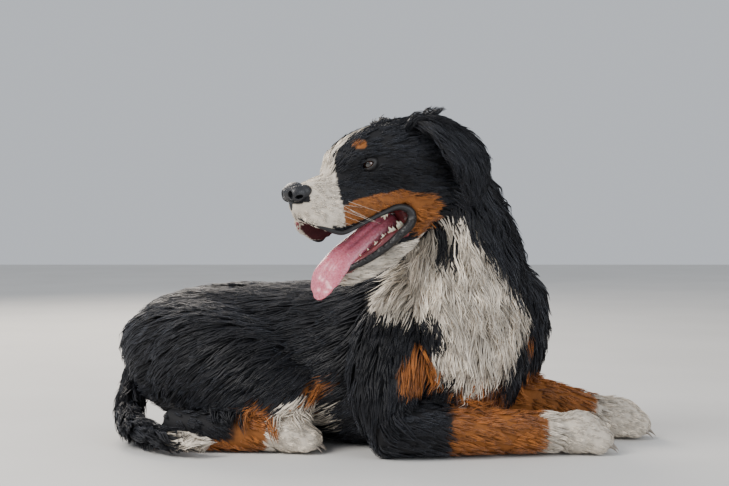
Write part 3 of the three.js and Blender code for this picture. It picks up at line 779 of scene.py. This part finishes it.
def material(name, rough, specular=0.5, sheen=0.0, coat=0.0, subsurface=0.0):
    made = bpy.data.materials.new(name)
    made.use_nodes = True
    shader = made.node_tree.nodes["Principled BSDF"]
    tune(shader, {"Roughness": rough, "Specular IOR Level": specular, "Sheen Weight": sheen,
                  "Coat Weight": coat, "Subsurface Weight": subsurface, "Subsurface Scale": 0.004})
    return made, made.node_tree, shader


def noise(tree, scale, detail=4.0, stretch=None):
    place = tree.nodes.new("ShaderNodeTexCoord")
    mapping = tree.nodes.new("ShaderNodeMapping")
    if stretch:
        mapping.inputs["Scale"].default_value = stretch
    made = tree.nodes.new("ShaderNodeTexNoise")
    tune(made, {"Scale": scale, "Detail": detail})
    tree.links.new(place.outputs["Object"], mapping.inputs["Vector"])
    tree.links.new(mapping.outputs["Vector"], made.inputs["Vector"])
    return made.outputs["Fac"]


def ramp(tree, source, low, high):
    """Colours between two stops, each a place and a colour."""
    made = tree.nodes.new("ShaderNodeValToRGB")
    tree.links.new(source, made.inputs["Fac"])
    for element, (place, colour) in zip(made.color_ramp.elements, (low, high)):
        element.position, element.color = place, (*colour, 1)
    return made.outputs["Color"]


def bump(tree, source, shader, strength, distance):
    made = tree.nodes.new("ShaderNodeBump")
    tune(made, {"Strength": strength, "Distance": distance})
    tree.links.new(source, made.inputs["Height"])
    tree.links.new(made.outputs["Normal"], shader.inputs["Normal"])


def painted(tree):
    """The colour that paint() gave the piece."""
    own = tree.nodes.new("ShaderNodeAttribute")
    own.attribute_name = "coat"
    return own.outputs["Color"]


# The mix node's colour sockets
MIX_A, MIX_B, MIX_RESULT = 6, 7, 2


def coat_material(name, rough, specular, bumpy):
    made, tree, shader = material(name, rough, specular, sheen=0.0 if bumpy else 0.10)
    tune(shader, {"Sheen Roughness": 0.45, "Sheen Tint": (0.75, 0.82, 1.0, 1)})
    shades = ramp(tree, noise(tree, 140, 3), (0.3, (0.86, 0.86, 0.86)), (0.72, (1.12, 1.11, 1.09)))
    mixed = tree.nodes.new("ShaderNodeMix")
    mixed.data_type, mixed.blend_type = "RGBA", "MULTIPLY"
    mixed.inputs["Factor"].default_value = 1.0
    tree.links.new(painted(tree), mixed.inputs[MIX_A])
    tree.links.new(shades, mixed.inputs[MIX_B])
    tree.links.new(mixed.outputs[MIX_RESULT], shader.inputs["Base Color"])
    if bumpy:
        bump(tree, noise(tree, 420, 5, (1, 1, 0.35)), shader, 0.6, 0.0012)
    return made


def skin_like(name, low, high, rough, scale, strength, coat=0.0, subsurface=0.0):
    """Bare skin, leather, horn or tooth: mottled between two colours, with pebbles of a scale."""
    made, tree, shader = material(name, rough, coat=coat, subsurface=subsurface)
    tune(shader, {"Coat Roughness": 0.15})
    tree.links.new(ramp(tree, noise(tree, scale * 0.25), (0.32, low),
(0.68, high)), shader.inputs["Base Color"])
    bump(tree, noise(tree, scale, 3), shader, strength, 0.0006)
    return made


def dress(piece, made, slot, *nodes):
    piece.data.materials.clear()
    piece.data.materials.append(made)
    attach(piece, "root")
    if nodes:
        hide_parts(*nodes)


# Head pieces
def make_nose():
    """Nose leather: a broad pad with two comma-shaped nostrils and a groove down its middle."""
    pad = [head_ball((217, 0, -3), (17, 22, 16), segments=48), head_ball((217, 0, -22), (12.5, 10, 15))]
    for way in BOTH:
        pad.append(head_ball((218, way * 14, -5), (15, 12, 13.5)))
        pad.append(head_ball((208, way * 17, -4), (12, 9.5, 11)))
    nose = remeshed(gathered("nose_leather", pad), NOSE_CELL_FIRST, 3)
    for way in BOTH:
        hole = head_ball((232, way * 15, -4), (11, 5.4, 6.4), heading=way * math.radians(36), segments=24)
        slit = head_ball((222, way * 24, -9), (12, 6, 2.8), heading=way * math.radians(58), segments=24)
        carve(nose, hole)
        carve(nose, slit)
    carve(nose, head_ball((236, 0, -14), (5, 1.4, 17), segments=24))
    return remeshed(nose, NOSE_CELL_LAST, 4)


EYE_WHITE, EYE_BROWN, EYE_DARK = np.array([[0.10, 0.06, 0.05], [0.060, 0.020, 0.008], [0.002, 0.002, 0.002]])
# Rings about the eye's axis, by the cosine from it: the dark rim, the iris, the pupil
EYE_RINGS = [(0.62, 0.67, EYE_DARK), (0.66, 0.72, EYE_BROWN), (0.93, 0.95, EYE_DARK)]


def make_eye(way):
    """An eyeball with a bulging clear front, coloured by rings about its own axis."""
    verts, faces = ball((0, 0, 0), (EYE_RADIUS,) * 3, segments=48)
    facing = unit(verts) @ eye_out(way)
    verts = verts * (1 + 0.10 * smooth(0.80, 0.97, facing))[:, None]
    eye = gathered(f"eyeball_{SIDE_NAMES[way]}", [(from_head(verts + EYE_AT * (1, way, 1)), faces)])
    colour = EYE_WHITE
    for low, high, shade in EYE_RINGS:
        share = smooth(low, high, facing)[:, None]
        colour = colour * (1 - share) + shade * share
    paint(eye, colour)
    return shade_smooth(eye)


def arc_tube(points, radii, sides=10):
    """Verts and faces of a closed tube through head points with a radius at each."""
    points, radii = np.asarray(points, float), np.asarray(radii, float)
    rings = 6 * len(points)
    rows = spline(np.hstack([points, radii[:, None]]), np.linspace(0, 1, rings))
    along = unit(np.gradient(rows[:, :3], axis=0))
    across = unit(np.cross(along, np.array([0.02, 0.05, 1.0])))
    up = np.cross(along, across)
    lines = [rows[:, :3] + (across * math.cos(a) + up * math.sin(a)) * rows[:, 3:4] for a in around(sides)]
    verts = np.stack(lines, 1).reshape(-1, 3)
    return from_head(verts), quads(rings, sides) + flat_ends(rings, sides)


def make_lids(way):
    """Lids close over the eyeball and leave a slanted, almond-shaped opening with a thick rim."""
    out = eye_out(way)
    centre = EYE_AT * (1, way, 1)
    shell, faces = ball(centre, (EYE_RADIUS + 2.6,) * 3, segments=56)
    across = np.array([-math.sin(EYE_FACING), way * math.cos(EYE_FACING), 0.0])
    off = shell - centre
    side, rise = off @ across, off[:, 2] - 0.2 * (off @ across)
    ridge = 1.3 * np.exp(-(((np.hypot(side / 12.5, rise / 7.2) - 1) / 0.30) ** 2)) * (off @ out > 0)
    shell = shell + unit(off) * ridge[:, None]
    lids = gathered(f"lids_{SIDE_NAMES[way]}", [(from_head(shell), faces)])
    carve(lids, head_ball(centre, (EYE_RADIUS + 0.45,) * 3, segments=48))
    # The opening is what two flat ellipsoids share, one set higher than the other
    c, s = math.cos(math.radians(11)), math.sin(math.radians(11))
    slant = np.array([[1, 0, 0], [0, c, s], [0, -s, c]])
    halves = []
    for shift, tall in ((1.2, 6.0), (-0.9, 5.6)):
        half, faces = ball((0, 0, 0), (14, 10.6, tall), segments=40)
        half = half @ slant * (1, way, 1) @ turned(way * EYE_FACING).T + centre + out * 14 + (0, 0, shift)
        halves.append(gathered("opening", [(from_head(half), faces)]))
    combine(*halves, "INTERSECT")
    combine(lids, halves[0], "DIFFERENCE")
    return remeshed(lids, LID_CELL, 2)


# The lips' line from under the nose round the corner of the mouth to the chin. The right flew hangs lower.
LIP_EDGE = [(221, 5, -41), (212, 17, -50), (197, 28, -61), (172, 38, -76), (149, 42, -73), (124, 45, -67),
            (97, 48, -61), (73, 51, -58), (57, 53, -66), (54, 54, -78), (62, 54, -90), (81, 51, -101),
            (101, 46, -113), (132, 38, -126), (160, 26, -134), (179, 10, -143)]
RIGHT_HANG = [2, 3]
LIP_SIZES = [3, 3.2, 3.6, 3.8, 3.6, 3.6, 4, 5, 6.6, 7.6, 7.6, 6.8, 6.2, 5.4, 4.6, 3.6]


def make_lips():
    """Black lips: the upper edge of the flews, the folded corners and the bumpy lower lip."""
    pieces = []
    for way in BOTH:
        edge = np.array(LIP_EDGE) * (1.0, way, 1.0)
        if way < 0:
            edge[RIGHT_HANG, 2] -= 13
        pieces.append(arc_tube(edge, LIP_SIZES, 14))
        for t in np.linspace(0.60, 0.96, 30):
            at = spline(edge, [t])[0]
            reach = float(np.interp(t, np.linspace(0, 1, len(edge)), LIP_SIZES))
            for lean in (0.2, 0.9):
                out = np.array([0, way * math.cos(lean), math.sin(lean)]) * reach * 0.93
                bead_at = at + out + RNG.normal(0, 0.6, 3)
                pieces.append(head_ball(bead_at, np.full(3, RNG.uniform(1.8, 3.0)), segments=10))
    return remeshed(gathered("lips", pieces), LIP_CELL, 2)


LOWER_GUM = [(60, 42, -100), (91, 38, -103), (115, 33, -116), (142, 25, -128), (163, 15, -138),
             (172, 0, -141)]
UPPER_GUM = [(70, 36, -56), (110, 33, -54), (150, 28, -54), (190, 20, -50), (210, 0, -45)]


def make_gums():
    """Gums and the lining of the mouth, with the palate."""
    pieces = []
    for way in BOTH:
        for points, radii in ((LOWER_GUM, [8, 8.5, 8, 7, 6.5, 6]), (UPPER_GUM, [7, 7.5, 7.5, 7, 6])):
            pieces.append(arc_tube(np.array(points) * (1.0, way, 1.0), radii, 12))
    far_lip = Tube([(120, -41, -60, 4, 12), (150, -38, -65, 4, 16), (180, -32, -67, 4, 17),
                    (204, -22, -58, 4, 13), (214, -10, -46, 4, 8)], head=True)
    roof = Tube([(44, 0, -62, 34, 8), (90, 0, -60, 33, 8), (150, 0, -58, 27, 8),
                 (196, 0, -50, 16, 7)], head=True)
    floor = Tube([(34, 0, -82, 34, 9), (67, 0, -106, 34, 9), (95, 0, -120, 30, 8), (119, 0, -128, 25, 8),
                  (145, 0, -134, 18, 8), (168, 0, -141, 13, 6)], head=True)
    pieces += [far_lip.mesh(0, 24, 24), roof.mesh(0, 24, 20), floor.mesh(0, 24, 20)]
    pieces.append(head_ball((44, 0, -84), (14, 40, 26)))
    return remeshed(gathered("gums", pieces), GUM_CELL, 2)


# Teeth: forward, aside, up of the tip, length along the jaw, height. Then how far each row leans
LOWER_TEETH = [(76, 41, -78, 8, 20), (91, 39, -84, 10, 24), (104, 37, -92, 9, 21), (117, 34, -101, 6.5, 17),
               (130, 30, -109, 5.5, 15), (143, 26, -115, 4.6, 13), (161, 21, -110, 5.6, 30),
               (171, 9, -128, 3.0, 12), (174, 3, -129, 2.8, 11)]
UPPER_TEETH = [(92, 35, -76, 9, 22), (112, 33, -74, 8, 19), (130, 31, -72, 6, 15), (150, 28, -72, 5, 14),
               (190, 21, -70, 5.2, 24), (207, 10, -54, 3.0, 11), (210, 3, -53, 2.8, 10)]
LEAN_LOW, LEAN_UP = math.radians(27), math.radians(-4)


def tooth(tip, long, height, lean, way):
    """A pointed crown, narrow across, its sides bulging; broad ones get a smaller cusp on each side."""
    shapes = []
    cusps = [(0, 1.0)] if long < 6 else [(0, 1.0), (-0.55, 0.66), (0.55, 0.6)]
    rings, sides = 7, 12
    faces = [(a, d, c, b) for a, b, c, d in quads(rings, sides)]
    faces += [end[::-1] for end in flat_ends(rings, sides)]
    if way < 0:
        faces = [face[::-1] for face in faces]
    c, s = math.cos(lean), math.sin(lean)
    t = np.linspace(0, 1, rings)
    for shift, tall in cusps:
        size = long * 0.62 * np.power(t, 0.62) * (0.75 if shift else 1)
        verts = []
        for k in range(rings):
            for a in around(sides):
                verts.append((size[k] * math.cos(a) + shift * long, size[k] * 0.62 * math.sin(a),
                              -height * t[k] + (tall - 1) * height * 0.45))
        verts = np.array(verts) * (1, 1, way) @ np.array([[c, 0, -s], [0, 1, 0], [s, 0, c]])
        shapes.append((from_head(verts + np.asarray(tip, float)), faces))
    return shapes


def make_teeth():
    shapes = []
    for side in BOTH:
        for rows, lean, way in ((LOWER_TEETH, LEAN_LOW, 1), (UPPER_TEETH, LEAN_UP, -1)):
            for u, v, w, long, height in rows:
                shapes += tooth((u, side * v, w), long, height, lean, way)
    return remeshed(gathered("teeth", shapes), TOOTH_CELL, 1)


def make_tongue():
    """The tongue, grooved along its middle, with its edges curled up and cross ripples near its tip."""
    rings, sides = 90, 56
    tongue = gathered("tongue", [TONGUE.mesh(0, sides, rings)])
    local = to_head(coords(tongue.data) / MM)
    t = np.repeat(np.linspace(0, 1, rings + 1), sides)
    angle = np.tile(around(sides), rings + 1)
    _, _, _, up = TONGUE.frame(t)
    top = np.maximum(np.sin(angle), 0)
    groove = -3.4 * np.exp(-((np.cos(angle) / 0.16) ** 2)) * top * (1 - 0.5 * t)
    curl = 4.5 * np.abs(np.cos(angle)) ** 3 * smooth(0.45, 1.0, t)
    ripple = 0.8 * np.sin(t * 37) * np.cos(angle * 2) * smooth(0.3, 0.6, t)
    local[: len(t)] += up * (groove + curl)[:, None]
    local[: len(t)] += up * ripple[:, None]
    tongue.data.vertices.foreach_set("co", (from_head(local) * MM).astype(np.float32).ravel())
    tongue.data.update()
    return relaxed(tongue, 3)


def make_ears():
    shapes = [PARTS[f"ear_{name}"].mesh(-1.0, 40, 48) for name in SIDE_NAMES.values()]
    return remeshed(gathered("ear_flaps", shapes), EAR_CELL, 3)


def make_claws():
    shapes = []
    rings, sides = 8, 10
    t = np.linspace(0, 1, rings)
    size = 3.9 * (1 - t**1.6) + 0.35
    faces = quads(rings, sides) + flat_ends(rings, sides)
    for at, heading, scale in PAWS.values():
        spin = turned(math.radians(heading))
        for aside, reach in TOES:
            ahead, height = reach + 16 + 17 * t, 17 - 3 * t - 10.5 * t**2
            verts = [(x, aside + r * 0.72 * math.cos(a), z + r * math.sin(a))
                     for x, z, r in zip(ahead, height, size) for a in around(sides)]
            shapes.append((np.array(verts) * scale @ spin.T + np.array([*at, 0]), faces))
    return shade_smooth(gathered("claws", shapes))


def make_whiskers():
    shapes = []
    sag = np.array([-0.5, 0, -0.25])
    for way in BOTH:
        for row in range(2):
            for k in range(4):
                u, w = 188 - 12 * k + 3 * row, -30 - 9 * row
                start = np.array([u, way * (32 + 0.10 * (196 - u)), w])
                long = RNG.uniform(38, 62)
                out = unit(np.array([-0.25 + RNG.normal(0, 0.12), way * 0.9, -0.35 + RNG.normal(0, 0.12)]))
                points = [start + out * long * s + sag * long * s * s * 0.6 for s in np.linspace(0, 1, 4)]
                shapes.append(arc_tube(points, [0.30, 0.25, 0.18, 0.06], 4))
    return shade_smooth(gathered("whiskers", shapes))


# Stage
SKY, SKY_STRENGTH = (0.80, 0.84, 0.90, 1), 0.75
# Each light's name, place, aim, width in metres, power in watts and colour
LIGHTS = [
    ("key", (-2.2, -1.6, 2.4), (0, 0, 0.3), 1.8, 125, (1.0, 0.97, 0.93)),
    ("fill", (2.4, -2.2, 1.3), (0, 0, 0.25), 2.2, 48, (0.93, 0.96, 1.0)),
    ("rim", (-1.2, 2.4, 1.9), (0, 0, 0.35), 1.6, 80, (1.0, 0.90, 0.78)),
]


def make_stage():
    floor = mesh_piece("floor", [(-6, -5, 0), (6, -5, 0), (6, 6, 0), (-6, 6, 0)], [(0, 1, 2, 3)], 1.0)
    made, tree, shader = material("pale_floor", 0.8)
    shades = ramp(tree, noise(tree, 3, 2), (0.3, (0.60, 0.59, 0.57)), (0.7, (0.64, 0.63, 0.61)))
    tree.links.new(shades, shader.inputs["Base Color"])
    floor.data.materials.append(made)
    world = bpy.data.worlds.new("studio")
    bpy.context.scene.world = world
    world.use_nodes = True
    tune(world.node_tree.nodes["Background"], {"Color": SKY, "Strength": SKY_STRENGTH})


def area_light(name, at, look, size, power, colour):
    data = bpy.data.lights.new(name, "AREA")
    data.shape, data.size, data.energy, data.color = "DISK", size, power, colour
    light = bpy.data.objects.new(name, data)
    light.location = at
    light.rotation_euler = (Vector(look) - Vector(at)).to_track_quat("-Z", "Y").to_euler()
    bpy.context.collection.objects.link(light)


# Camera: where the photo was taken from, level with the dog's chin
FRAME_WIDTH = 729
FOCAL_PX = 1386.0
SENSOR = 36.0
CAMERA_AT = (0.0, -2.365, 0.420)
CAMERA_DIP = math.radians(1.98)


def make_camera():
    data = bpy.data.cameras.new("camera")
    data.sensor_width = SENSOR
    data.lens = FOCAL_PX / FRAME_WIDTH * SENSOR
    camera = bpy.data.objects.new("camera", data)
    camera.location = CAMERA_AT
    camera.rotation_euler = (math.pi / 2 - CAMERA_DIP, 0, 0)
    bpy.context.collection.objects.link(camera)
    bpy.context.scene.camera = camera


FLESH_NODES = ["head", "lower_jaw", "trunk", "neck", "breast", "tail_root", "tail_end"] + [
    f"{part}_{side}" for part in ("shoulder", "forearm", "forepaw", "thigh", "shank", "hindpaw")
    for side in ("left", "right")
]


def paint_skin(pieces, lie):
    """The coat's colours on the skin, darker than the hair over it, and the mouth's lining."""
    for piece in pieces:
        at = coords(piece.data) / MM
        u, v, w = to_head(at).T
        lining = (np.abs(v) < np.interp(u, LINING_AT, LINING_HALF)) & (u > 30) & (u < 222)
        lining &= (w < -50) & (w > -104)
        colours = coat_colour(lie.at(at)[2], at) * SKIN_SHADE
        paint(piece, np.where(lining[:, None], MOUTH_LINING, colours))


def bare_places(surface):
    """Where no hair grows: the mouth, the nose, about the eyes and on the ground."""
    u, v, w = to_head(surface.centre).T
    mouth = (u > 30) & (u < 222) & (np.abs(v) < 37) & (w < -52) & (w > -150)
    mouth &= (w > -118 - 0.2 * (u - 100)) | (u < 60)
    nose = (u > 206) & (w > -30)
    eyes = ((u - 107) ** 2 + (np.abs(v) - 43) ** 2 + ((w - 16) * 1.35) ** 2) < 14**2
    hidden = (surface.centre[:, 2] < 6) & (surface.normal[:, 2] < -0.5)
    return mouth | nose | eyes | hidden


CROWN_AT, CROWN_RADIUS = (-24, 16, 68), 9


def make_coat(surface, ear_surface, lie, fur):
    """Every tuft. The columns are locks, hairs to a lock, the lock's radius and a hair's width in mm."""
    _, style, _ = lie.at(surface.centre)
    length, dense = style[:, 0], style[:, 3] * ~bare_places(surface)
    long, tiny = dense * (length > LONG_HAIR), dense * (length <= TINY_HAIR)
    short = dense * (length <= LONG_HAIR) * (length > TINY_HAIR)
    crown = np.exp(-((np.linalg.norm(surface.centre - from_head(CROWN_AT), axis=1) / CROWN_RADIUS) ** 2))
    few = 1.0
    shorter = {"steps": 4}
    rows = [(f"coat_long_{k}", surface, long, int(730 * few), 11, 12.0, 2.9, {}) for k in range(5)]
    rows += [(f"coat_short_{k}", surface, short, int(1280 * few), 8, 5.0, 1.7, shorter) for k in range(2)]
    rows += [
        ("coat_fine", surface, tiny, int(1650 * few), 7, 3.6, 1.0, {"gather": 0.4, "steps": 4}),
        ("coat_crown", surface, crown, 15, 11, 4.0, 1.3, {"scale": 1.1, "rise": 13}),
        ("coat_ears", ear_surface, np.ones(len(ear_surface.area)), int(640 * few), 9, 7.0, 2.0, {}),
    ]
    for name, ground, weight, count, hairs, radius, width, shape in rows:
        piece = tufts(name, ground, lie, weight, count, hairs, radius, width, **shape)
        dress(piece, fur, "white_coat" if name == "coat_fine" else "black_coat")


def make_face():
    """Nose, eyes, lips, gums, teeth, tongue, claws and whiskers, each with its own look."""
    black_skin = skin_like("lip_skin", (0.003, 0.0025, 0.003),
(0.009, 0.0075, 0.008), 0.5, 700, 0.5, coat=0.03)
    leather = skin_like("nose_leather", (0.005, 0.0055, 0.0075),
(0.014, 0.015, 0.019), 0.45, 900, 0.7, coat=0.1)
    dress(make_nose(), leather, "nose_leather", "nose")
    glossy, tree, shader = material("eyeball", 0.06, 0.6, coat=1.0)
    tree.links.new(painted(tree), shader.inputs["Base Color"])
    for way in BOTH:
        dress(make_eye(way), glossy, "eye", f"eye_{SIDE_NAMES[way]}")
        dress(make_lids(way), black_skin, "black_coat")
    dress(make_lips(), black_skin, "mouth_skin")
    gum = skin_like("gum_skin", (0.11, 0.018, 0.022),
(0.27, 0.055, 0.06), 0.3, 400, 0.35, coat=0.5, subsurface=0.2)
    dress(make_gums(), gum, "mouth_skin")
    enamel = skin_like("enamel", (0.66, 0.56, 0.40),
(0.78, 0.71, 0.57), 0.25, 300, 0.08, coat=0.4, subsurface=0.15)
    dress(make_teeth(), enamel, "mouth_skin")
    pink = skin_like("tongue_skin", (0.46, 0.095, 0.14), (0.66, 0.22, 0.28), 0.34, 1300, 0.4, 0.35, 0.3)
    dress(make_tongue(), pink, "tongue", "tongue")
    dress(make_claws(), skin_like("horn", (0.20, 0.17, 0.14),
(0.42, 0.36, 0.30), 0.35, 200, 0.2), "white_coat")
    dress(make_whiskers(), skin_like("whisker", (0.4, 0.36, 0.32),
(0.7, 0.66, 0.6), 0.4, 100, 0.0), "white_coat")


def main():
    make_camera()
    make_stage()
    for light in LIGHTS:
        area_light(*light)
    skin, ears = make_skin(), make_ears()
    unwrap(skin)
    unwrap(ears)
    lie = Lie()
    paint_skin((skin, ears), lie)
    fur = coat_material("coat", 0.5, 0.32, False)
    hide = coat_material("hide", 0.7, 0.3, True)
    dress(skin, hide, "black_coat", *FLESH_NODES)
    dress(ears, hide, "black_coat", "ear_left", "ear_right")
    make_coat(Surface(skin), Surface(ears), lie, fur)
    make_face()


main()
